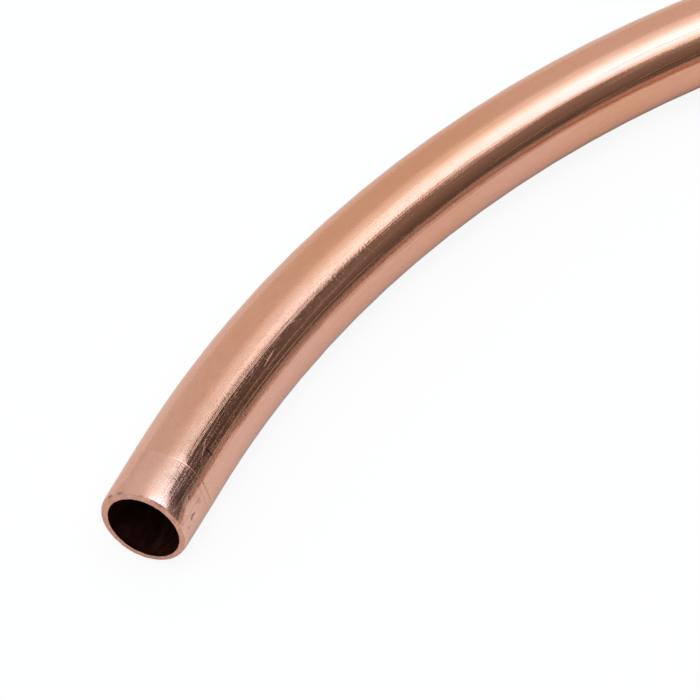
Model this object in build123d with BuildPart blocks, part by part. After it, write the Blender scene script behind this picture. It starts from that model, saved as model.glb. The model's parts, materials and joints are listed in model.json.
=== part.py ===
from build123d import *
import os
from math import pi, radians

# Soft copper tube in a flat hand coil, with its outer turn opened out.
# One piece of drawn tube lies flat on the floor. Seen from above it runs clockwise inwards from its
# outer end: a wide half turn that has been pulled open, then close half turns whose radius drops by
# half a pitch each, then a tighter bend that swings the inner end clear of its neighbour.
# Millimetres, +Z up, origin on the floor under the middle of the coil's bounding box.

# Tube stock
outer_diameter = 15.875
wall = 1.016
stock_length = 3048.0

# Coil
turn_gap = 1.6
coil_half_turns = 4
open_standoff = 54.0
inner_sweep = 120.0
tail_sweep = 60.0
tail_radius = 80.0

# Sized ends: a straight stretch whose last part starts at a scored ring, tapers in and curls to the cut rim
straight_end = 16.0
sized_length = 9.8
lip_length = 1.8
taper_drop = 0.16
lip_drop = 0.28
score_width = 0.3
score_depth = 0.06

half_turn = 180.0
tube_radius = outer_diameter / 2
bore_radius = tube_radius - wall
pitch = outer_diameter + turn_gap
plain_end = straight_end - sized_length
taper_length = sized_length - lip_length

# The close turns take the length that the ends, the opened turn's extra and the tail leave over
half_turn_steps = sum(range(coil_half_turns))
fixed_length = (
    2 * straight_end
    + pi * open_standoff
    - pi * half_turn_steps * pitch / 2
    - radians(inner_sweep) * coil_half_turns * pitch / 2
    + radians(tail_sweep) * tail_radius
)
coil_radius = (stock_length - fixed_length) / (pi * (coil_half_turns + 1) + radians(inner_sweep))
open_radius = coil_radius + open_standoff

# Centreline radius and sweep of each bend, from the outer end inwards
close_radii = [coil_radius - step * pitch / 2 for step in range(coil_half_turns + 1)]
bends = [(open_radius, half_turn)]
bends += [(radius, half_turn) for radius in close_radii[:-1]]
bends += [(close_radii[-1], inner_sweep), (tail_radius, tail_sweep)]


def sized_curve(start, radius):
    # Taper and lip of one wall face, drawn outwards from the given start
    taper = Line((start, radius), (taper_length, radius - taper_drop))
    lip = TangentArc(taper @ 1, (sized_length, radius - taper_drop - lip_drop), tangent=taper % 1)
    return taper, lip


with BuildPart() as copper_tube:
    # Tube wall along the spiral
    outer_seat = Vector(-open_radius, -open_standoff / 2 - plain_end, tube_radius)
    with BuildLine() as centreline:
        run = Line(outer_seat, outer_seat + Vector(0, plain_end, 0))
        for bend_radius, bend_sweep in bends:
            run = JernArc(run @ 1, run % 1, bend_radius, -bend_sweep)
        Line(run @ 1, (run @ 1) + (run % 1) * plain_end)
    tube_path = centreline.wires()[0]
    with BuildSketch(Plane(origin=tube_path @ 0, z_dir=tube_path % 0)):
        Circle(tube_radius)
        Circle(bore_radius, mode=Mode.SUBTRACT)
    sweep(path=tube_path)

    # Sized stretch on each cut end, turned about the tube's own axis
    for seat, outward in [(tube_path @ 0, -(tube_path % 0)), (tube_path @ 1, tube_path % 1)]:
        end_plane = Plane(origin=seat, x_dir=outward, z_dir=outward.cross(Vector(0, 0, 1)))
        with BuildSketch(end_plane):
            with BuildLine():
                score = Polyline(
                    (0, tube_radius), (score_width / 2, tube_radius - score_depth), (score_width, tube_radius)
                )
                outer_taper, outer_lip = sized_curve(score_width, tube_radius)
                bore_taper, bore_lip = sized_curve(0, bore_radius)
                Line(outer_lip @ 1, bore_lip @ 1)
                Line(bore_taper @ 0, score @ 0)
            make_face()
        revolve(axis=Axis(seat, outward))

copper_tube.part.label = "copper_tube"

os.makedirs("parts", exist_ok=True)
export_step(copper_tube.part, "parts/copper_tube.step")

section_area = pi * (tube_radius**2 - bore_radius**2)
print(f"coil radius {coil_radius:.2f}, opened radius {open_radius:.2f}, pitch {pitch:.3f}")
print(f"centreline {tube_path.length + 2 * sized_length:.2f} of {stock_length:.2f}")
print(f"volume {copper_tube.part.volume:.0f}, section times length {section_area * stock_length:.0f}")
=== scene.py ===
import json
import math

import bpy
import numpy as np
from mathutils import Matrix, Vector


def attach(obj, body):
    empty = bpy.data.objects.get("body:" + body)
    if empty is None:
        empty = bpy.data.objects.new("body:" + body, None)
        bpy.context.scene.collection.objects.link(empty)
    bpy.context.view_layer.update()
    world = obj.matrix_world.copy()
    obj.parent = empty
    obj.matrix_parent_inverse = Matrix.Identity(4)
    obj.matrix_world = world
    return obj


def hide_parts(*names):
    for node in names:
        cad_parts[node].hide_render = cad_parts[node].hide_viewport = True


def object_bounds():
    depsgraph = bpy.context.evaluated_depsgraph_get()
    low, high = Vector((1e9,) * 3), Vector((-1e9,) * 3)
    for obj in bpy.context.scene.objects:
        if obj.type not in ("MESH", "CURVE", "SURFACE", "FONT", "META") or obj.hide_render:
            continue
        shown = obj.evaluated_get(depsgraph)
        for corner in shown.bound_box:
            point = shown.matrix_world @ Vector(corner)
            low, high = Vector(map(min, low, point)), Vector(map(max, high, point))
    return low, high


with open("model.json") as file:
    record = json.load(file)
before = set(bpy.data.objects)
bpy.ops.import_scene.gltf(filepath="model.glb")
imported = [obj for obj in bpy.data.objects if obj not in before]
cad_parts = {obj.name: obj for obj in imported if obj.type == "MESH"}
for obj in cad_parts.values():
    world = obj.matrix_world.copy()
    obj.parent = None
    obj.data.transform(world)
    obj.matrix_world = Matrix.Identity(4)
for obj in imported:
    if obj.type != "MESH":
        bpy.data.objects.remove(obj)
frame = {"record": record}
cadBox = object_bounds()
scene = bpy.context.scene
scene.view_settings.view_transform = "Standard"
print("frame loaded, box in mm", [round(1000 * v, 1) for v in cadBox[1] - cadBox[0]])

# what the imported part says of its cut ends
mounts = {mount["name"]: mount for mount in frame["record"]["mounts"]}
outerEnd, innerEnd = mounts["outer_end"], mounts["inner_end"]
tubeRadius = outerEnd["dims"]["r_mm"] / 1000
plainEnd = outerEnd["dims"]["length_mm"] / 1000
axisHeight = outerEnd["pos_m"][2]
openRadius = -outerEnd["pos_m"][0]
turnLine = outerEnd["pos_m"][1] + plainEnd / 2  # y of the line that every half turn's centre lies on

# tube: the coil's run and the shape of its cut ends, in metres
tube = {
    "wall": 0.001016,
    "turnGap": 0.0016,
    "halfTurns": 4,
    "innerSweep": math.radians(120),
    "tailSweep": math.radians(60),
    "tailRadius": 0.080,
    "sizedLength": 0.0098,
    "rimDrop": 0.00044,  # how far the rim lies inside the tube's own radius
    # above and below, the sized stretch bends in twice and then curls: distance from the rim, added slope
    "upperBends": ((0.0095, 0.008), (0.0060, 0.012)),
    "upperLip": (0.0035, 2.6),  # length and power of the curl
    "sideSlope": 0.005,
    "sideLip": (0.0018, 4),
    "edgeRound": 0.00017,
    "scoreWidth": 0.0003,
    "scoreDepth": 0.00006,
    "scoreShare": 0.65,  # share of that depth on the top, and how much it changes towards either side
    "scoreLean": 0.35,
    "burr": 0.00008,
    "burrReach": 0.0005,
    "borePush": (-0.00013, -0.00018),  # at the cut: away from the coil's middle, and up
    "pushReach": 0.015,
    "ovalEnd": 0.0034,  # bending draws the tube in a little across the coil, more so away from the cut end
    "ovalBend": 0.0110,
    "ovalRise": 0.250,
}
lastBend = tube["upperBends"][-1][0]  # distance from the rim of the second bend


def layRun():
    # lengths and bends of the run from the outer end: a straight, the half turns, the tail, a straight
    straight = plainEnd + tube["sizedLength"]
    pitch = 2 * tubeRadius + tube["turnGap"]
    coilRadius = openRadius + 2 * turnLine
    closeRadii = coilRadius - np.arange(tube["halfTurns"] + 1) * pitch / 2
    radii = np.concatenate([[openRadius], closeRadii, [tube["tailRadius"]]])
    sweeps = np.full(len(radii), math.pi)
    sweeps[-2:] = tube["innerSweep"], tube["tailSweep"]
    lengths = np.concatenate([[straight], radii * sweeps, [straight]])
    bends = np.concatenate([[0], -1 / radii, [0]])  # clockwise seen from above
    starts = np.concatenate([[0], np.cumsum(lengths)])
    headings = math.pi / 2 + np.concatenate([[0], np.cumsum(lengths * bends)])
    # an arc's chord is its length times sinc of half its turn, and points along its middle heading
    half = lengths * bends / 2
    chords = lengths * np.sinc(half / math.pi)
    x = -openRadius + np.concatenate([[0], np.cumsum(chords * np.cos(headings[:-1] + half))])
    y = turnLine - straight + np.concatenate([[0], np.cumsum(chords * np.sin(headings[:-1] + half))])
    return {"starts": starts, "bends": bends, "headings": headings, "x": x, "y": y, "length": starts[-1]}


def alongRun(run, s):
    # point and heading at distance s: the start of its stretch plus the chord of the arc up to there
    k = np.clip(np.searchsorted(run["starts"], s, side="right") - 1, 0, len(run["bends"]) - 1)
    done = s - run["starts"][k]
    half = done * run["bends"][k] / 2
    chord = done * np.sinc(half / math.pi)
    x = run["x"][k] + chord * np.cos(run["headings"][k] + half)
    y = run["y"][k] + chord * np.sin(run["headings"][k] + half)
    return x, y, run["headings"][k] + 2 * half


def stepUp(x, at, soft):
    # smooth step from 0 to 1: half of one plus the hyperbolic tangent of the way past its place
    return 0.5 + 0.5 * np.tanh((x - at) / soft)


def stepDown(x, at, soft):
    # the same step from 1 to 0
    return 1 - stepUp(x, at, soft)


def between(x, start, end):
    # a step up and a later step down, each given by its place and softness
    return stepUp(x, *start) - stepUp(x, *end)


def bell(x, half):
    # e to the minus of the squared distance in half widths
    return np.exp(-((x / half) ** 2))


def flatBell(x, half):
    # a bell with a flatter top, by the fourth power
    return np.exp(-((x / half) ** 4))


def turnFrom(theta, angle):
    # angle from one place round the tube to another, the short way
    return (theta - angle + math.pi) % (2 * math.pi) - math.pi


# unevenness round the rim: the number of waves in each cosine, and the seed of its draws
rimWaves = {
    "jagged": ((2, 3, 5, 9, 14, 21, 34), 11),
    "worn": ((4, 7, 13, 22, 31), 12),
    "torn": ((3, 5, 8, 13, 21, 34), 14),
    "pale": ((1, 2, 3, 5), 16),
}
waveSizes = (0.3, 1.0)


def waves(theta, name):
    # uneven edge round the rim: cosines of whole-number counts with drawn phases, so that it closes
    counts, seed = rimWaves[name]
    draw = np.random.default_rng(seed)
    phases = draw.uniform(0, 2 * math.pi, len(counts))
    sizes = draw.uniform(*waveSizes, len(counts))
    total = sum(size * np.cos(count * theta + phase) for count, size, phase in zip(counts, sizes, phases))
    return total / sizes.sum()


def wallDrop(x, theta):
    # how far the wall has moved in at distance x from its rim: above and below it bends in twice and then
    # curls, at the sides a faint taper ends in a short curl, and between them the two are blended by the
    # squared sine of the angle; a curl is a power of the share of its length that is left to the rim
    def lip(bends, length, power):
        taper = sum(slope * np.clip(start - x, 0, None) for start, slope in bends)
        left = tube["rimDrop"] - sum(slope * start for start, slope in bends)
        return taper + left * np.clip(1 - x / length, 0, None) ** power

    upper = lip(tube["upperBends"], *tube["upperLip"])
    sides = lip(((tube["sizedLength"], tube["sideSlope"]),), *tube["sideLip"])
    return sides + (upper - sides) * np.sin(theta) ** 2


def scoreDrop(x, theta):
    # scored ring: a groove with straight sides at the start of the sized stretch, which is shallower on the
    # coil's outside by the cosine of the angle
    half = tube["scoreWidth"] / 2
    depth = tube["scoreDepth"] * (tube["scoreShare"] - tube["scoreLean"] * np.cos(theta))
    return depth * np.clip(1 - np.abs(x - tube["sizedLength"] + half) / half, 0, 1)


# handling: marks that it left on the outer end's outside
handling = {
    # shallow flats: from, to, soft end, angle, half angle, depth
    "flats": [
        (-0.0100, 0.0097, 0.0002, math.radians(103), math.radians(14), 0.00013),
        (0.0035, 0.0245, 0.0012, math.radians(158), math.radians(15), 0.00018),
        (0.0520, 0.0660, 0.0060, math.radians(106), math.radians(12), 0.00006),
        (0.1050, 0.1420, 0.0150, math.radians(168), math.radians(16), 0.00008),
    ],
    # a second, broken score of the sizing tool: distance from the rim, half width, angle, half angle, depth
    "brokenScore": (0.00820, 0.00009, math.radians(158), math.radians(16), 0.00005),
    # unevenness of the hand-sized stretch: waves round the tube, their turn per metre along it, and phase
    "wobble": 0.000016,
    "wobbleWaves": ((3, 900, 0), (5, -1500, 1), (8, 700, 2)),
    "wobbleSoft": 0.0002,
    "wobbleRim": 0.001,
}


def handled(s, theta):
    # drop of the outside by handling: each flat is a bell across times a smooth step in and out along
    drop = 0 * s * theta
    for start, end, soft, angle, half, depth in handling["flats"]:
        reach = between(s, (start, soft), (end, soft))
        drop = drop + depth * reach * np.exp(-0.5 * (turnFrom(theta, angle) / half) ** 2)
    # the broken score is a bell along the tube and a flat one across, the unevenness a sum of slanted waves
    at, width, angle, half, depth = handling["brokenScore"]
    drop = drop + depth * bell(s - at, width) * flatBell(turnFrom(theta, angle), half)
    sized = stepDown(s, tube["sizedLength"], handling["wobbleSoft"]) * (1 - bell(s, handling["wobbleRim"]))
    uneven = sum(np.cos(count * theta + turn * s + phase) for count, turn, phase in handling["wobbleWaves"])
    return drop + handling["wobble"] * sized * (1 + uneven / len(handling["wobbleWaves"]))


# grid: columns round the tube, even rows along its two walls, and closer rows at each end
grid = {
    "columns": 144,
    "outerRows": 330,
    "boreRows": 130,
    "denseEnd": 0.045,  # where the even rows start
    "lipRows": 24,
    "taperRows": 10,
    "ringRows": 23,
    "ringBefore": 1.6,  # the ring's rows reach this many score widths towards the rim, and away from it
    "ringBehind": 0.6,
    "bendRows": 12,
    "bendEnd": 0.028,
    "lastRows": (0.033, 0.039),
    "boreEndRows": 12,
    "boreBendRows": 10,
    "edgeRows": 6,
    "faceRows": 5,
}
outsideZone, cutZone, boreZone = range(3)  # parts of the wall, in the order of their materials


def tubeProfile(length):
    # closed walk round the wall's section, as distance along the run, radius and zone: the outside from
    # rim to rim, over the lip, back along the bore, and over the other lip
    edge, sized, dense = tube["edgeRound"], tube["sizedLength"], grid["denseEnd"]
    ringStart = sized - grid["ringBefore"] * tube["scoreWidth"]
    ringEnd = sized + grid["ringBehind"] * tube["scoreWidth"]
    outerNear = np.concatenate([
        np.linspace(edge, lastBend, grid["lipRows"]),
        np.linspace(lastBend, ringStart, grid["taperRows"])[1:-1],
        np.linspace(ringStart, ringEnd, grid["ringRows"]),
        np.linspace(ringEnd, grid["bendEnd"], grid["bendRows"])[1:],
        grid["lastRows"],
    ])
    boreNear = np.concatenate([
        np.linspace(edge, sized, grid["boreEndRows"]),
        np.geomspace(sized, dense, grid["boreBendRows"])[1:-1],
    ])

    def wholeRun(near, count):
        return np.concatenate([near, np.linspace(dense, length - dense, count), length - near[::-1]])

    outerS = wholeRun(outerNear, grid["outerRows"])
    boreS = wholeRun(boreNear, grid["boreRows"])[::-1][1:]
    # the rim walked from the outside in: round off the outer edge, cross the cut face, round into the bore
    boreRadius = tubeRadius - tube["wall"]
    turn = np.linspace(0, math.pi / 2, grid["edgeRows"])[1:]
    face = np.linspace(tubeRadius - edge, boreRadius + edge, grid["faceRows"])[1:-1]
    outerRound = tubeRadius - edge * (1 - np.cos(turn))
    boreRound = boreRadius + edge * (1 - np.sin(turn))
    rimS = np.concatenate([edge * (1 - np.sin(turn)), 0 * face, edge * (1 - np.cos(turn))])
    rimRadius = np.concatenate([outerRound, face, boreRound])
    backS, backRadius = rimS[::-1][1:], rimRadius[::-1][1:]
    s = np.concatenate([outerS, length - rimS, boreS, backS])
    outerRadii, boreRadii = np.full(len(outerS), tubeRadius), np.full(len(boreS), boreRadius)
    radius = np.concatenate([outerRadii, rimRadius, boreRadii, backRadius])
    counts = [len(outerS), len(rimS), len(boreS), len(backS)]
    zone = np.repeat([outsideZone, cutZone, boreZone, cutZone], counts)
    return s, radius, zone


def tubeSurface(length, s, radius, zone, theta, fromRim):
    # the tube's own shape, as distance along the run, away from the coil's middle and up: each row's radius
    # less the drops at its place, times the cosine and the sine of the angle round the tube
    nearRim = bell(fromRim, tube["burrReach"])
    inward = np.where(s < length / 2, 1.0, -1.0)
    jagged = 0.5 + 0.5 * waves(theta, "jagged")
    along = s + inward * nearRim * tube["burr"] * jagged
    worn = 0.5 + 0.5 * waves(theta, "worn")
    oval = tube["ovalEnd"] + tube["ovalBend"] * (1 - bell(s, tube["ovalRise"]))
    out = (radius - wallDrop(fromRim, theta)) * (1 - oval * np.cos(theta) ** 2)
    out = out - (zone == cutZone) * nearRim * tube["burr"] * worn
    out = out - (zone == outsideZone) * (scoreDrop(fromRim, theta) + handled(s, theta))
    # the cut pushed the bore a little off the middle, least on the outside and most on the bore's wall
    pushed = np.clip((tubeRadius - radius) / tube["wall"], 0, 1) * np.exp(-fromRim / tube["pushReach"])
    side = out * np.cos(theta) + tube["borePush"][0] * pushed
    rise = out * np.sin(theta) + tube["borePush"][1] * pushed
    return along, side, rise


def meshTube(points, s, zone):
    # mesh of the grid of points, closed on itself both ways, each row of faces with its zone's material
    rows, columns = points.shape[:2]
    i, j = np.meshgrid(np.arange(rows), np.arange(columns), indexing="ij")
    nextI, nextJ = (i + 1) % rows, (j + 1) % columns
    corners = i * columns + j, i * columns + nextJ, nextI * columns + nextJ, nextI * columns + j
    quads = np.stack(corners, -1)
    mesh = bpy.data.meshes.new("copperTube")
    mesh.vertices.add(rows * columns)
    mesh.vertices.foreach_set("co", points.astype(np.float32).ravel())
    mesh.loops.add(quads.size)
    mesh.loops.foreach_set("vertex_index", quads.astype(np.int32).ravel())
    mesh.polygons.add(rows * columns)
    mesh.polygons.foreach_set("loop_start", np.arange(0, quads.size, len(corners), dtype=np.int32))
    mesh.polygons.foreach_set("use_smooth", np.ones(rows * columns, dtype=bool))
    after = np.roll(zone, -1)
    faceZone = np.where((zone == cutZone) | (after == cutZone), cutZone, np.maximum(zone, after))
    mesh.polygons.foreach_set("material_index", np.repeat(faceZone, columns).astype(np.int32))
    mesh.update(calc_edges=True)
    # unrolled map: metres along the run, metres round the tube, with its seam underneath
    unrolled = mesh.uv_layers.new(name="unrolled")
    across = tubeRadius * np.arange(columns + 1) * 2 * math.pi / columns
    u = np.stack([s[i], s[i], s[nextI], s[nextI]], -1)
    v = np.stack([across[j], across[j + 1], across[j + 1], across[j]], -1)
    unrolled.data.foreach_set("uv", np.stack([u, v], -1).astype(np.float32).ravel())
    return mesh


# wear and painted light: where the copper's look changes, by distance from the rim, angle round the tube or
# height; a pair is the place of a smooth step and its softness
wearAndPaintedLight = {
    "endReach": 0.03,
    # torn metal and dirt on the cut's outer edge, with the burr's shadow painted in, and what is left of it
    # away from the upper side
    "tornAt": 0.0002,
    "tornHalf": 0.00018,
    "tornWall": 0.0003,
    "tornMean": 0.05,
    "tornSwing": 1.3,
    "tornBelow": 0.2,
    "tornSide": ((math.radians(32), 0.1), (math.radians(128), 0.1)),
    # torn spots that stand out: angle, half angle, strength
    "nicks": [
        (math.radians(39), math.radians(5), 1.0),
        (math.radians(62), math.radians(2), 0.5),
        (math.radians(89), math.radians(2), 0.6),
        (math.radians(115), math.radians(10), 1.0),
    ],
    # paler copper on the lip: its reach in lengths of the last bend, and how uneven that is
    "lipReach": 1.1,
    "lipSwing": 0.35,
    "lipSoft": 0.0009,
    "lipFrom": (1.2, 0.14),
    # on the sized stretch's top, and a painted highlight along its scored ring, where the groove would catch
    # the lamp
    "topSide": ((math.radians(66), 0.06), (math.radians(112), 0.10)),
    "topShare": 0.55,
    "topSoft": 0.0002,
    "ringShare": 1.3,
    "ringHalf": 0.00014,
    # low on the tube's two sides, until it fades out along the first stretch by a power
    "insideShare": 0.68,
    "insideFrom": (math.radians(150), 0.07),
    "outsideShare": 0.5,
    "outsideTo": (math.radians(63), 0.09),
    "outsideSoft": 0.0006,
    "lowReach": 0.056,
    "lowPower": 4,
    # above, further along
    "aboveShare": 0.4,
    "aboveTo": (math.radians(135), 0.17),
    "aboveFrom": (0.118, 0.012),
    # on the wound turns' outward side: distance along the run, and cosine of the angle
    "woundFrom": (0.72, 0.05),
    "outwardFrom": (-0.2, 0.3),
    # drawing lines beside the ends and further on
    "linedLeast": 0.45,
    "linedTo": (0.098, 0.012),
    # painted shade below this height, from the tube's middle: a darker underside standing in for the floor's
    # shadow seen in the copper
    "filmTo": (-0.0040, 0.0008),
}


def tornEdgeAndShade(theta, fromRim, radius):
    # dirt and torn metal along the cut's outer edge, darkened further by the burr's painted shadow: the
    # higher of clipped waves, mostly on the upper side, and of a flat bell round each nick, times a bell
    # along the tube
    upper = between(theta, *wearAndPaintedLight["tornSide"])
    torn = np.clip(wearAndPaintedLight["tornMean"] + wearAndPaintedLight["tornSwing"] * waves(theta, "torn"), 0, 1)
    torn = torn * (wearAndPaintedLight["tornBelow"] + (1 - wearAndPaintedLight["tornBelow"]) * upper)
    for angle, half, strength in wearAndPaintedLight["nicks"]:
        torn = np.maximum(torn, strength * flatBell(turnFrom(theta, angle), half))
    onEdge = radius > tubeRadius - wearAndPaintedLight["tornWall"]
    return bell(fromRim - wearAndPaintedLight["tornAt"], wearAndPaintedLight["tornHalf"]) * torn * onEdge


def paleCopperAndRingHighlight(theta, fromRim, woundFace):
    # paler copper and a painted highlight: the highest of its shares on the lip, on the sized stretch's top,
    # the scored ring's painted highlight, low on both sides of the first stretch, above further along, and
    # on the wound turns, each made of smooth steps
    sized = tube["sizedLength"]
    reach = lastBend * (wearAndPaintedLight["lipReach"] + wearAndPaintedLight["lipSwing"] * waves(theta, "pale"))
    lip = stepDown(fromRim, reach, wearAndPaintedLight["lipSoft"]) * stepUp(theta, *wearAndPaintedLight["lipFrom"])
    # painted highlight: a pale line along the scored ring, where the groove would catch the lamp
    ring = wearAndPaintedLight["ringShare"] * bell(fromRim - sized + tube["scoreWidth"] / 2, wearAndPaintedLight["ringHalf"])
    end = wearAndPaintedLight["topShare"] * stepDown(fromRim, sized, wearAndPaintedLight["topSoft"])
    top = between(theta, *wearAndPaintedLight["topSide"]) * np.maximum(end, ring)
    inside = wearAndPaintedLight["insideShare"] * stepUp(theta, *wearAndPaintedLight["insideFrom"])
    outside = wearAndPaintedLight["outsideShare"] * stepDown(theta, *wearAndPaintedLight["outsideTo"])
    low = inside + outside * stepUp(fromRim, sized, wearAndPaintedLight["outsideSoft"])
    low = low / (1 + (fromRim / wearAndPaintedLight["lowReach"]) ** wearAndPaintedLight["lowPower"])
    above = wearAndPaintedLight["aboveShare"] * stepDown(theta, *wearAndPaintedLight["aboveTo"]) * stepUp(fromRim, *wearAndPaintedLight["aboveFrom"])
    return np.maximum.reduce([lip, top, low, above, woundFace])


def wearAndPaintedLightShares(s, radius, theta, fromRim, rise):
    # the shares that the finishes read: the end's own look fades by a power of e along the tube, the drawing
    # lines weaken in one step, and the painted shade lies below a height, but not on the wound turns'
    # outward side
    woundFace = stepUp(s, *wearAndPaintedLight["woundFrom"]) * stepUp(np.cos(theta), *wearAndPaintedLight["outwardFrom"])
    edgeStain = tornEdgeAndShade(theta, fromRim, radius)
    return {
        "endShare": np.exp(-fromRim / wearAndPaintedLight["endReach"]),
        "paleShare": paleCopperAndRingHighlight(theta, fromRim, woundFace),
        "lineShare": wearAndPaintedLight["linedLeast"] + (1 - wearAndPaintedLight["linedLeast"]) * stepDown(fromRim, *wearAndPaintedLight["linedTo"]),
        "underFilm": stepDown(rise, *wearAndPaintedLight["filmTo"]) * (1 - woundFace),
        "edgeStain": edgeStain,
    }


def buildTube(run):
    # the profile carried round and along the run: row by row along the walk, column by column round it
    length, columns = run["length"], grid["columns"]
    s, radius, zone = (part[:, None] for part in tubeProfile(length))
    theta = -math.pi / 2 + np.arange(columns)[None] * 2 * math.pi / columns
    fromRim = np.minimum(s, length - s)
    along, side, rise = tubeSurface(length, s, radius, zone, theta, fromRim)
    x, y, heading = alongRun(run, along)
    points = np.stack([x - side * np.sin(heading), y + side * np.cos(heading), axisHeight + rise], axis=-1)
    mesh = meshTube(points, s[:, 0], zone[:, 0])
    # the place on the tube without a seam: across, up and along its own axis
    own = mesh.attributes.new("tubeCoord", "FLOAT_VECTOR", "POINT")
    own.data.foreach_set("vector", np.stack([side, rise, along], -1).astype(np.float32).ravel())
    for name, share in wearAndPaintedLightShares(s, radius, theta, fromRim, rise).items():
        layer = mesh.attributes.new(name, "FLOAT", "POINT")
        layer.data.foreach_set("value", np.broadcast_to(share, rise.shape).astype(np.float32).ravel())
    obj = bpy.data.objects.new("copperTube", mesh)
    scene.collection.objects.link(obj)
    print("tube rows", len(s), "columns", columns, "triangles", 2 * rise.size)
    return obj


# node helpers: a socket given as an input is linked, and anything else is set as its value
def addNode(tree, kind, inputs=None, **settings):
    node = tree.nodes.new(kind)
    for name, value in settings.items():
        setattr(node, name, value)
    for key, value in (inputs or {}).items():
        if isinstance(value, bpy.types.NodeSocket):
            tree.links.new(value, node.inputs[key])
        else:
            node.inputs[key].default_value = value
    return node


def mathNode(tree, operation, a, b=0.0):
    return addNode(tree, "ShaderNodeMath", {0: a, 1: b}, operation=operation).outputs[0]


def times(tree, a, b):
    return mathNode(tree, "MULTIPLY", a, b)


def vectorNode(tree, operation, a, b):
    node = addNode(tree, "ShaderNodeVectorMath", {0: a, 1: b}, operation=operation)
    return node.outputs["Value" if operation in ("DOT_PRODUCT", "DISTANCE") else "Vector"]


def scaleColour(tree, colour, level):
    inputs = {0: colour, "Scale": level}
    return addNode(tree, "ShaderNodeVectorMath", inputs, operation="SCALE").outputs[0]


def mixColour(tree, share, a, b):
    return addNode(tree, "ShaderNodeMix", {0: share, 6: a, 7: b}, data_type="RGBA").outputs[2]


def noiseNode(tree, at, scale, detail, roughness=0.5, dimensions="3D"):
    inputs = {"Vector": at, "Scale": scale, "Detail": detail, "Roughness": roughness}
    return addNode(tree, "ShaderNodeTexNoise", inputs, noise_dimensions=dimensions).outputs["Fac"]


def ramp(tree, value, low, high, toLow=0.0, toHigh=1.0, smooth=True):
    kind = "SMOOTHSTEP" if smooth else "LINEAR"
    inputs = {"Value": value, "From Min": low, "From Max": high, "To Min": toLow, "To Max": toHigh}
    return addNode(tree, "ShaderNodeMapRange", inputs, interpolation_type=kind).outputs["Result"]


def fall(tree, value, low, high):
    return ramp(tree, value, low, high, 1.0, 0.0)


def addUp(tree, total, *parts):
    # a number plus values, each value given with what it is multiplied by
    for value, factor in parts:
        inputs = {0: value, 1: factor, 2: total}
        total = addNode(tree, "ShaderNodeMath", inputs, operation="MULTIPLY_ADD").outputs[0]
    return total


def addShares(tree, total, masks, shares):
    # the same for masks and their factors by name
    return addUp(tree, total, *((masks[name], share) for name, share in shares.items()))


def strongest(tree, masks):
    # the highest of several masks
    highest = masks[0]
    for mask in masks[1:]:
        highest = mathNode(tree, "MAXIMUM", highest, mask)
    return highest


def newGroup(name, inputs, outputs):
    # group with a Vector input and the named numbers in and out
    tree = bpy.data.node_groups.new(name, "ShaderNodeTree")
    tree.interface.new_socket("Vector", in_out="INPUT", socket_type="NodeSocketVector")
    for label in inputs:
        tree.interface.new_socket(label, in_out="INPUT", socket_type="NodeSocketFloat")
    for label in outputs:
        tree.interface.new_socket(label, in_out="OUTPUT", socket_type="NodeSocketFloat")
    return tree, addNode(tree, "NodeGroupInput").outputs, addNode(tree, "NodeGroupOutput").inputs


def groupNode(tree, group, inputs):
    return addNode(tree, "ShaderNodeGroup", inputs, node_tree=group).outputs


# draw lines: how rough their noise is
lineNoise = {"detail": 3.0, "roughness": 0.6}


def makeDrawLines():
    # lengthwise lines that the drawing die leaves: noise squeezed round the tube and stretched along it
    tree, given, result = newGroup("drawLines", ["Scale", "Stretch"], ["Line"])
    stretch = addNode(tree, "ShaderNodeCombineXYZ", {0: 1.0, 1: 1.0, 2: given["Stretch"]}).outputs[0]
    at = vectorNode(tree, "MULTIPLY", given["Vector"], stretch)
    noise = noiseNode(tree, at, given["Scale"], lineNoise["detail"], lineNoise["roughness"])
    tree.links.new(noise, result["Line"])
    return tree


# hairline scratches: how a line wanders, where it lies in its lane, where its runs fade, and its strength
hair = {
    "wanderScale": 60.0,
    "laneStart": 0.2,
    "laneSpan": 0.6,
    "runShift": 37.0,
    "fadeIn": (0.0, 0.15),
    "fadeOut": (0.4, 0.97),
    "strengthLeast": 0.35,
    "strengthSpan": 0.65,
}


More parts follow.
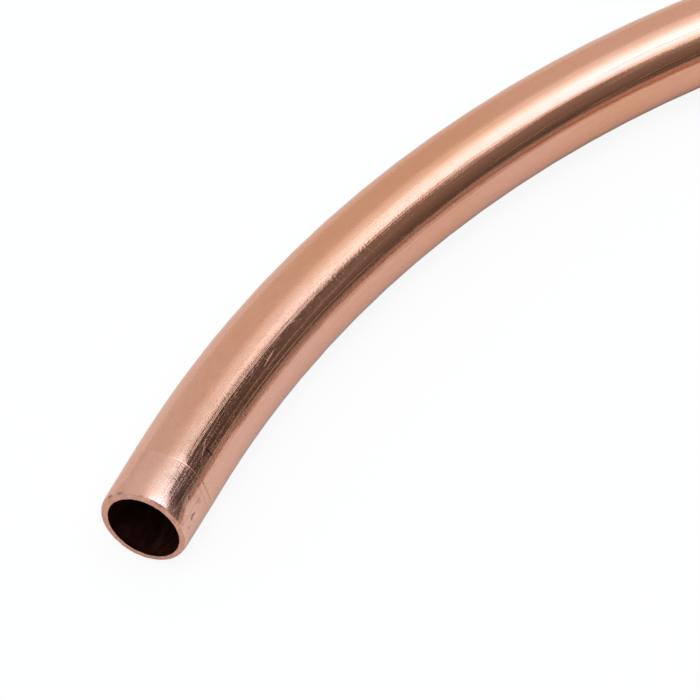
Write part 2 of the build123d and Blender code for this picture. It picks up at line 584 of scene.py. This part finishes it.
def makeHairScratches():
    # hairline scratches: the unrolled tube is turned and split into lanes, each lane holds one fine line
    # that wanders a little, and the line is split into runs that are kept by chance and fade at both ends
    inputs = ["Angle", "Lanes", "Runs", "Bow", "Half Width", "Cover"]
    tree, given, result = newGroup("hairScratches", inputs, ["Mask"])
    turned = addNode(tree, "ShaderNodeVectorRotate", {"Vector": given["Vector"], "Angle": given["Angle"]},
                     rotation_type="Z_AXIS").outputs[0]
    place = addNode(tree, "ShaderNodeSeparateXYZ", {0: turned}).outputs
    bow = noiseNode(tree, turned, hair["wanderScale"], 0.0, dimensions="2D")
    across = addUp(tree, times(tree, place[1], given["Lanes"]), (bow, given["Bow"]))
    lane, inLane = mathNode(tree, "FLOOR", across), mathNode(tree, "FRACT", across)
    drawn = addNode(tree, "ShaderNodeTexWhiteNoise", {"W": lane}, noise_dimensions="1D").outputs["Color"]
    drawn = addNode(tree, "ShaderNodeSeparateColor", {0: drawn}).outputs
    middle = addUp(tree, hair["laneStart"], (drawn[0], hair["laneSpan"]))
    off = mathNode(tree, "ABSOLUTE", mathNode(tree, "SUBTRACT", inLane, middle))
    thin = fall(tree, mathNode(tree, "DIVIDE", off, given["Lanes"]), 0.0, given["Half Width"])
    lengthwise = addUp(tree, times(tree, place[0], given["Runs"]), (drawn[1], hair["runShift"]))
    piece, inPiece = mathNode(tree, "FLOOR", lengthwise), mathNode(tree, "FRACT", lengthwise)
    cell = addNode(tree, "ShaderNodeCombineXYZ", {0: lane, 1: piece}).outputs[0]
    chance = addNode(tree, "ShaderNodeTexWhiteNoise", {"Vector": cell}, noise_dimensions="2D")
    kept = mathNode(tree, "LESS_THAN", chance.outputs["Value"], given["Cover"])
    fade = times(tree, ramp(tree, inPiece, *hair["fadeIn"]), fall(tree, inPiece, *hair["fadeOut"]))
    strength = addUp(tree, hair["strengthLeast"], (drawn[2], hair["strengthSpan"]))
    mask = times(tree, times(tree, thin, kept), fade)
    tree.links.new(times(tree, mask, strength), result["Mask"])
    return tree


# tarnish: stretch of the pattern, then each noise's detail, roughness and the values its mask rises between
tarnishNoise = {
    "stretch": (1.0, 1.0, 0.35),
    "Broad": (4.0, 0.55, 0.32, 0.68),
    "Fine": (3.0, 0.60, 0.30, 0.70),
}


def makeTarnish():
    # tarnish in soft patches and in fine specks, drawn out a little along the tube
    tree, given, result = newGroup("tarnish", ["Broad Scale", "Fine Scale"], ["Broad", "Fine"])
    at = vectorNode(tree, "MULTIPLY", given["Vector"], tarnishNoise["stretch"])
    for name in ("Broad", "Fine"):
        detail, roughness, low, high = tarnishNoise[name]
        noise = noiseNode(tree, at, given[name + " Scale"], detail, roughness)
        tree.links.new(ramp(tree, noise, low, high), result[name])
    return tree


drawLines = makeDrawLines()
hairScratches = makeHairScratches()
tarnish = makeTarnish()


def addLines(tree, own, lines):
    return groupNode(tree, drawLines, {"Vector": own, "Scale": lines[0], "Stretch": lines[1]})["Line"]


def addTarnish(tree, own, scales):
    masks = groupNode(tree, tarnish, {"Vector": own, "Broad Scale": scales[0], "Fine Scale": scales[1]})
    return masks["Broad"], masks["Fine"]


def newMaterial(name):
    material = bpy.data.materials.new(name)
    material.use_nodes = True
    material.node_tree.nodes.clear()
    return material, material.node_tree


def newCopper(name):
    material, tree = newMaterial(name)
    shader = addNode(tree, "ShaderNodeBsdfPrincipled", {"Metallic": 1.0})
    addNode(tree, "ShaderNodeOutputMaterial", {"Surface": shader.outputs[0]})
    return material, tree, shader


def finishCopper(tree, shader, colour, rough, height):
    # what changes over every copper: its colour, its roughness, and its height in metres
    bump = addNode(tree, "ShaderNodeBump", {"Height": height, "Distance": 1.0, "Strength": 1.0})
    tree.links.new(colour, shader.inputs["Base Color"])
    tree.links.new(rough, shader.inputs["Roughness"])
    tree.links.new(bump.outputs[0], shader.inputs["Normal"])


def ownValue(tree, name, output="Fac"):
    return addNode(tree, "ShaderNodeAttribute", attribute_name=name).outputs[output]


# bright drawn copper: the outside of the tube
bright = {
    "clean": (0.69, 0.316, 0.175, 1.0),
    "pink": (0.70, 0.385, 0.280, 1.0),
    # also the colour of the scored ring's painted highlight
    "pale": (0.75, 0.43, 0.325, 1.0),
    "brown": (0.50, 0.205, 0.115, 1.0),
    "stain": (0.24, 0.075, 0.045, 1.0),
    # near-black edge: torn metal and dirt, with the burr's shadow painted in
    "torn": (0.02, 0.008, 0.006, 1.0),
    # painted shade: the darker underside, standing in for the floor's shadow seen in the copper
    "film": (0.27, 0.115, 0.07, 1.0),
    "edge": (0.89, 0.79, 0.71, 1.0),  # tint of grazing reflections
    # how far each mask turns the clean colour pink, and how strong the other colours are
    "pinkShares": {"broad": 0.35, "slow": 0.45, "ends": 0.8},
    "speckShare": 0.10,
    "speckEnds": 0.16,
    "paleShare": 0.8,
    "pitStain": 0.8,
    # scales of the tarnish, of the draw lines with their stretch, and of the noises with their detail
    "tarnish": (60.0, 900.0),
    "slowScale": 22.0,
    "fineLines": (2400.0, 0.004),
    "coarseLines": (650.0, 0.012),
    "grain": (3200.0, 2.0),
    "shake": (2600.0, 2.0),
    "wave": (45.0, 1.0),
    # values that the rough share of the lines and of the grain rises between
    "lineRise": (0.5, 0.72),
    "grainRise": (0.5, 0.64),
    "roughness": 0.080,
    # what each mask adds to the roughness
    "roughShares": {
        "broad": 0.02,
        "fine": 0.03,
        "line": 0.12,
        "ends": 0.02,
        "streak": 0.26,
        "scratch": 0.25,
        "rubbed": 0.13,
        "under": 0.25,
        "stroke": 0.2,
        "pit": 0.3,
        "torn": 0.3,
    },
    # and to the height, in metres
    "heights": {
        "line": 0.0000120,
        "coarse": 0.0000080,
        "wave": 0.000030,
        "grain": 0.0000150,
        "streak": -0.0000050,
        "scratch": -0.0000060,
        "pit": -0.000050,
    },
    # streaks along the tube: angle to it, lanes and runs per metre, bow, half width, cover
    "streaks": [
        (0.0, 2300.0, 13.0, 0.5, 0.00013, 0.45),
        (0.012, 1100.0, 22.0, 0.5, 0.00016, 0.30),
    ],
    # scratches across it near the cut ends, the same way, with the cover right at the end
    "scratches": [
        (-0.10, 1800.0, 120.0, 0.8, 0.00004, 0.55),
        (0.50, 1700.0, 300.0, 0.8, 0.00004, 0.50),
        (-0.38, 1700.0, 260.0, 0.8, 0.00004, 0.50),
        (1.10, 1200.0, 380.0, 0.8, 0.00004, 0.20),
    ],
    "scratchFade": 1.6,  # power of the end's share in that cover
    # pits beside the outer end: distance from the rim, angle round the tube, half width, strength
    "pits": [
        (0.00172, math.radians(167.4), 0.00050, 0.5),
        (0.00688, math.radians(158.4), 0.00075, 0.4),
        (0.00530, math.radians(141.0), 0.00055, 0.8),
        (0.01246, math.radians(31.0), 0.00055, 0.9),
        (0.02621, math.radians(144.7), 0.00050, 0.6),
    ],
    "pitShake": 0.0007,
    "pitCore": 0.25,  # share of a pit's half width that is at full strength
    # long lines and strokes that stand out: both ends as distance and angle, half width, height
    "strokes": [
        ((0.0085, math.radians(137.6)), (0.0780, math.radians(141.2)), 0.00009, 0.000013),
        ((0.0105, math.radians(115.6)), (0.0600, math.radians(120.4)), 0.00010, 0.000014),
        ((0.0110, math.radians(113.2)), (0.0540, math.radians(117.4)), 0.00010, -0.000008),
        ((0.0360, math.radians(129.0)), (0.0404, math.radians(126.0)), 0.00006, 0.000014),
        ((0.0376, math.radians(126.6)), (0.0407, math.radians(125.4)), 0.00006, 0.000012),
        ((0.0404, math.radians(125.6)), (0.0410, math.radians(128.4)), 0.00006, 0.000014),
        ((0.0478, math.radians(123.6)), (0.0492, math.radians(130.4)), 0.00008, 0.000014),
        ((0.0118, math.radians(131.0)), (0.0170, math.radians(119.6)), 0.00007, 0.000010),
    ],
    # dark marks and the dirt in the scored rings, the same way: both ends, half width, strength
    "marks": [
        ((0.00295, math.radians(164.6)), (0.00395, math.radians(161.0)), 0.00050, 0.90),
        ((0.00365, math.radians(161.2)), (0.00480, math.radians(164.0)), 0.00040, 0.80),
        ((0.01490, math.radians(127.0)), (0.01500, math.radians(141.5)), 0.00036, 1.0),
        ((0.00968, math.radians(138.0)), (0.00968, math.radians(182.0)), 0.00016, 0.40),
        ((0.00820, math.radians(142.0)), (0.00820, math.radians(182.0)), 0.00024, 0.30),
    ],
    "strokeFull": (0.1, 0.8),  # shares of a stroke's length between which it is at full strength
}


def hairMask(tree, unrolled, sets, share=None):
    # one mask of several sets of scratches, whose cover may change over the tube
    masks = []
    for angle, lanes, runs, bow, half, cover in sets:
        inputs = {"Vector": unrolled, "Angle": angle, "Lanes": lanes, "Runs": runs, "Bow": bow}
        inputs["Half Width"] = half
        inputs["Cover"] = cover if share is None else times(tree, share, cover)
        masks.append(groupNode(tree, hairScratches, inputs)["Mask"])
    return strongest(tree, masks)


def onMap(at, angle):
    # place on the unrolled map of a distance from the rim and an angle round the tube
    return np.array([at, tubeRadius * (angle + math.pi / 2), 0.0])


def pitMask(tree, unrolled, shake, at, angle, half, strength):
    # the distance from a place on the unrolled map, shaken by a fine noise so that no pit is round
    away = vectorNode(tree, "DISTANCE", unrolled, tuple(onMap(at, angle)))
    away = addUp(tree, mathNode(tree, "ADD", away, -bright["pitShake"] / 2), (shake, bright["pitShake"]))
    return ramp(tree, away, bright["pitCore"] * half, half, strength, 0.0)


def strokeMask(tree, unrolled, start, end, half):
    # a straight stroke on the unrolled map: a smooth fall away from it, times a fade at both ends
    head, tail = onMap(*start), onMap(*end)
    reach = np.linalg.norm(tail - head)
    along = (tail - head) / reach
    fullFrom, fullTo = (share * reach for share in bright["strokeFull"])
    offset = vectorNode(tree, "SUBTRACT", unrolled, tuple(head))
    done = vectorNode(tree, "DOT_PRODUCT", offset, tuple(along))
    away = mathNode(tree, "ABSOLUTE", vectorNode(tree, "DOT_PRODUCT", offset, (-along[1], along[0], 0.0)))
    inside = times(tree, ramp(tree, done, 0.0, fullFrom), fall(tree, done, fullTo, reach))
    return times(tree, fall(tree, away, 0.0, half), inside)


def brightCopper():
    material, tree, shader = newCopper("brightCopper")
    shader.inputs["Specular Tint"].default_value = bright["edge"]
    own = ownValue(tree, "tubeCoord", "Vector")
    unrolled = addNode(tree, "ShaderNodeUVMap", uv_map="unrolled").outputs["UV"]
    ends, lined, pale = ownValue(tree, "endShare"), ownValue(tree, "lineShare"), ownValue(tree, "paleShare")
    under, torn = ownValue(tree, "underFilm"), ownValue(tree, "edgeStain")
    broad, fine = addTarnish(tree, own, bright["tarnish"])
    slow = groupNode(tree, tarnish, {"Vector": own, "Broad Scale": bright["slowScale"]})["Broad"]
    line, coarse = addLines(tree, own, bright["fineLines"]), addLines(tree, own, bright["coarseLines"])
    grain, shake, wave = (noiseNode(tree, own, *bright[name]) for name in ("grain", "shake", "wave"))
    streak = hairMask(tree, unrolled, bright["streaks"])
    nearEnd = mathNode(tree, "POWER", ends, bright["scratchFade"])
    scratch = hairMask(tree, unrolled, bright["scratches"], nearEnd)
    pit = strongest(tree, [pitMask(tree, unrolled, shake, *place) for place in bright["pits"]])
    strokes = [(strokeMask(tree, unrolled, *stroke), height) for *stroke, height in bright["strokes"]]
    marks = [times(tree, strokeMask(tree, unrolled, *mark), strength) for *mark, strength in bright["marks"]]

    masks = {
        "broad": broad,
        "fine": fine,
        "slow": slow,
        "ends": ends,
        "line": ramp(tree, line, *bright["lineRise"]),
        "streak": streak,
        "scratch": scratch,
        "rubbed": times(tree, ramp(tree, grain, *bright["grainRise"]), lined),
        "under": under,
        "stroke": strongest(tree, [mask for mask, height in strokes]),
        "pit": pit,
        "torn": torn,
    }
    reliefs = {
        "line": times(tree, line, lined),
        "coarse": coarse,
        "wave": wave,
        "grain": times(tree, grain, lined),
        "streak": streak,
        "scratch": scratch,
        "pit": pit,
    }
    pink = addShares(tree, 0.0, masks, bright["pinkShares"])
    colour = mixColour(tree, pink, bright["clean"], bright["pink"])
    specks = times(tree, fine, addUp(tree, bright["speckShare"], (ends, bright["speckEnds"])))
    colour = mixColour(tree, specks, colour, bright["brown"])
    # paler copper, with the scored ring's painted highlight
    colour = mixColour(tree, times(tree, pale, bright["paleShare"]), colour, bright["pale"])
    # painted shade on the underside: the floor's shadow seen in the copper, painted as a darker colour
    colour = mixColour(tree, under, colour, bright["film"])
    stained = strongest(tree, [times(tree, pit, bright["pitStain"]), *marks])
    colour = mixColour(tree, stained, colour, bright["stain"])
    # the cut's outer edge: torn metal and dirt, with the burr's shadow painted in near-black
    colour = mixColour(tree, torn, colour, bright["torn"])
    rough = addShares(tree, bright["roughness"], masks, bright["roughShares"])
    height = addShares(tree, addUp(tree, 0.0, *strokes), reliefs, bright["heights"])
    finishCopper(tree, shader, colour, rough, height)
    return material


# cut copper: the rim's own face, matt and pinker than the drawn wall
cut = {
    "face": (0.72, 0.385, 0.275, 1.0),
    "dull": (0.46, 0.205, 0.135, 1.0),
    "dullFine": 0.55,
    "dullBroad": 0.25,
    "stainShare": 0.6,
    "tarnish": (400.0, 2500.0),
    "roughness": 0.40,
    "roughBroad": 0.12,
    "markHeight": 0.000030,
}


def cutCopper():
    material, tree, shader = newCopper("cutCopper")
    broad, fine = addTarnish(tree, ownValue(tree, "tubeCoord", "Vector"), cut["tarnish"])
    dull = addUp(tree, 0.0, (fine, cut["dullFine"]), (broad, cut["dullBroad"]))
    # the cut face's outer edge: dirt and torn metal, with the burr's shadow painted in
    stained = times(tree, ownValue(tree, "edgeStain"), cut["stainShare"])
    colour = mixColour(tree, stained, mixColour(tree, dull, cut["face"], cut["dull"]), bright["stain"])
    rough = addUp(tree, cut["roughness"], (broad, cut["roughBroad"]))
    finishCopper(tree, shader, colour, rough, times(tree, fine, cut["markHeight"]))
    return material


# bore copper: dull and dark brown inside, with lengthwise draw lines
bore = {
    "wall": (0.20, 0.075, 0.052, 1.0),
    "stain": (0.10, 0.036, 0.026, 1.0),
    "tarnish": (200.0, 1200.0),
    "lines": (1500.0, 0.01),
    "roughness": 0.42,
    "roughFine": 0.15,
    "lineHeight": 0.000004,
}


def boreCopper():
    material, tree, shader = newCopper("boreCopper")
    own = ownValue(tree, "tubeCoord", "Vector")
    broad, fine = addTarnish(tree, own, bore["tarnish"])
    colour = mixColour(tree, broad, bore["wall"], bore["stain"])
    rough = addUp(tree, bore["roughness"], (fine, bore["roughFine"]))
    height = times(tree, addLines(tree, own, bore["lines"]), bore["lineHeight"])
    finishCopper(tree, shader, colour, rough, height)
    return material


run = layRun()
seat = alongRun(run, np.array([run["length"] - tube["sizedLength"] - plainEnd / 2]))
miss = math.hypot(seat[0][0] - innerEnd["pos_m"][0], seat[1][0] - innerEnd["pos_m"][1])
print("run of", round(1000 * run["length"], 2), "mm, inner end off by", round(1000 * miss, 4), "mm")
copperTube = buildTube(run)
for makeFinish in (brightCopper, cutCopper, boreCopper):
    copperTube.data.materials.append(makeFinish())
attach(copperTube, "root")
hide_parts("copper_tube")
print("tube built and finished")

white = (1.0, 1.0, 1.0, 1.0)  # what the camera sees round the coil
# floor: one pale sheet under the coil
floor = {"half": 9.0, "colour": (0.95, 0.95, 0.95, 1.0), "cameraWhite": 0.90, "mirrorWhite": 0.08}


def layFloor():
    # flat square at the coil's foot
    corner = floor["half"] * np.array([[-1, -1, 0], [1, -1, 0], [1, 1, 0], [-1, 1, 0]], dtype=float)
    corner[:, 2] = cadBox[0].z
    mesh = bpy.data.meshes.new("floor")
    mesh.from_pydata(corner.tolist(), [], [(0, 1, 2, 3)])
    obj = bpy.data.objects.new("floor", mesh)
    scene.collection.objects.link(obj)
    material, tree = newMaterial("paleFloor")
    matt = addNode(tree, "ShaderNodeBsdfDiffuse", {"Color": floor["colour"]}).outputs[0]
    glow = addNode(tree, "ShaderNodeEmission", {"Color": white, "Strength": 1.0}).outputs[0]
    path = addNode(tree, "ShaderNodeLightPath").outputs
    mirrored = mathNode(tree, "MAXIMUM", path["Is Glossy Ray"], path["Is Transmission Ray"])
    share = addUp(tree, 0.0, (path["Is Camera Ray"], floor["cameraWhite"]), (mirrored, floor["mirrorWhite"]))
    both = addNode(tree, "ShaderNodeMixShader", {0: share, 1: matt, 2: glow}).outputs[0]
    addNode(tree, "ShaderNodeOutputMaterial", {"Surface": both})
    mesh.materials.append(material)


layFloor()
print("floor laid")

# studio: pale walls all round, a dark stretch on the right with a soft cool light high above it, a pale cool
# screen on the left, and a soft fill light behind the camera
studio = {
    "wall": 0.84,
    "darkFoot": 0.02,
    "darkHead": 0.34,
    # deepest towards this azimuth: two cosines of the angle from it, and the levels there
    "darkLean": (math.radians(60), 0.85, 0.955, 1.12, 0.43),
    "darkTint": (1.0, 0.90, 0.88),
    "darkAzimuth": math.radians(25.7),
    "darkSpread": (math.radians(72.7), math.radians(58.0)),
    "darkFrom": (math.radians(-1.5), math.radians(11.4)),
    "darkTo": (math.radians(50.0), math.radians(75.0)),
    "screen": (0.74, 0.90, 1.00, 1.0),
    "screenAzimuth": math.radians(208),
    "screenSpread": (math.radians(48), math.radians(34)),
    "screenFrom": (math.radians(0), math.radians(3)),
    "screenTo": (math.radians(35), math.radians(50)),
    "fill": 1.5,
    "fillAzimuth": math.radians(-75),
    "fillSpread": (math.radians(65), math.radians(30)),
    "fillFrom": (math.radians(8), math.radians(25)),
    "lampEdge": 2.35,
    "lampHead": 3.25,
    "lampRise": (0.74, 0.96),  # sines of the heights between which it grows from the one to the other
    "lampFoot": (0.90, 1.06, 1.02, 1.0),
    "lampTint": (0.84, 1.05, 1.22, 1.0),
    "lampCore": (0.87, 0.99, 1.40, 1.0),
    "lampCoreFrom": (0.72, 0.97),  # shares of the lamp between which its core's colour comes in
    "lampAzimuth": math.radians(39.9),
    "lampReach": 0.5,
    "lampFall": 3.6,
    "lampFrom": (math.radians(46.3), math.radians(50.7)),
    "lampPale": (math.radians(47.0), math.radians(54.0)),
}


def lightStudio():
    world = bpy.data.worlds.new("studio")
    world.use_nodes = True
    tree = world.node_tree
    tree.nodes.clear()
    way = addNode(tree, "ShaderNodeTexCoord").outputs["Generated"]
    part = addNode(tree, "ShaderNodeSeparateXYZ", {0: way}).outputs
    level = addNode(tree, "ShaderNodeCombineXYZ", {0: part[0], 1: part[1], 2: 0.0}).outputs[0]
    level = addNode(tree, "ShaderNodeVectorMath", {0: level}, operation="NORMALIZE").outputs[0]

    def facing(azimuth):
        # cosine of the angle between a direction's azimuth and the given one
        return vectorNode(tree, "DOT_PRODUCT", level, (math.cos(azimuth), math.sin(azimuth), 0.0))

    def rises(heights, toLow=0.0, toHigh=1.0):
        # smooth step between two heights above the horizon
        return ramp(tree, part[2], math.sin(heights[0]), math.sin(heights[1]), toLow, toHigh)

    def patch(name):
        # a soft-edged part of the room: a spread of azimuths times its foot and, where it has one, its head
        spread = studio[name + "Spread"]
        mask = ramp(tree, facing(studio[name + "Azimuth"]), math.cos(spread[0]), math.cos(spread[1]))
        mask = times(tree, mask, rises(studio[name + "From"]))
        if name + "To" in studio:
            mask = times(tree, mask, rises(studio[name + "To"], 1.0, 0.0))
        return mask

    walls = {0: patch("fill"), 2: studio["wall"], 3: studio["fill"]}
    grey = addNode(tree, "ShaderNodeMix", walls).outputs[0]
    room = mixColour(tree, patch("screen"), grey, studio["screen"])
    darkTop = math.sin(studio["darkTo"][0])
    darkLevel = ramp(tree, part[2], 0.0, darkTop, studio["darkFoot"], studio["darkHead"], smooth=False)
    leanAzimuth, *lean = studio["darkLean"]
    darkLevel = times(tree, darkLevel, ramp(tree, facing(leanAzimuth), *lean))
    room = mixColour(tree, patch("dark"), room, scaleColour(tree, studio["darkTint"], darkLevel))
    lamp = ramp(tree, facing(studio["lampAzimuth"]), -studio["lampReach"], 1.0, smooth=False)
    lamp = times(tree, mathNode(tree, "POWER", lamp, studio["lampFall"]), rises(studio["lampFrom"]))
    lampLevels = studio["lampEdge"], studio["lampHead"]
    lampLevel = ramp(tree, part[2], *studio["lampRise"], *lampLevels, smooth=False)
    tint = mixColour(tree, ramp(tree, lamp, *studio["lampCoreFrom"]), studio["lampTint"], studio["lampCore"])
    tint = mixColour(tree, rises(studio["lampPale"]), studio["lampFoot"], tint)
    colour = mixColour(tree, lamp, room, scaleColour(tree, tint, lampLevel))
    seen = addNode(tree, "ShaderNodeLightPath").outputs["Is Camera Ray"]
    colour = mixColour(tree, seen, colour, white)
    background = addNode(tree, "ShaderNodeBackground", {"Color": colour, "Strength": 1.0})
    addNode(tree, "ShaderNodeOutputWorld", {"Surface": background.outputs[0]})
    scene.world = world


lightStudio()
print("studio lit")

# camera: where it looks, and from where round the coil
camera = {
    "aim": (-0.20737, 0.00751, axisHeight),
    "distance": 0.86514,
    "azimuth": math.radians(23.65),
    "elevation": math.radians(46.64),
    "lens": 261.7,
    "sensor": 36.0,
    "clip": (0.05, 50.0),
}


def placeCamera():
    data = bpy.data.cameras.new("camera")
    data.lens, data.sensor_width = camera["lens"], camera["sensor"]
    data.clip_start, data.clip_end = camera["clip"]
    obj = bpy.data.objects.new("camera", data)
    scene.collection.objects.link(obj)
    azimuth, elevation = camera["azimuth"], camera["elevation"]
    flat = math.cos(elevation)
    back = Vector((math.sin(azimuth) * flat, -math.cos(azimuth) * flat, math.sin(elevation)))
    obj.location = Vector(camera["aim"]) + back * camera["distance"]
    obj.rotation_euler = (-back).to_track_quat("-Z", "Y").to_euler()
    scene.camera = obj
    print("camera at", [round(1000 * v, 2) for v in obj.location], "mm")


placeCamera()
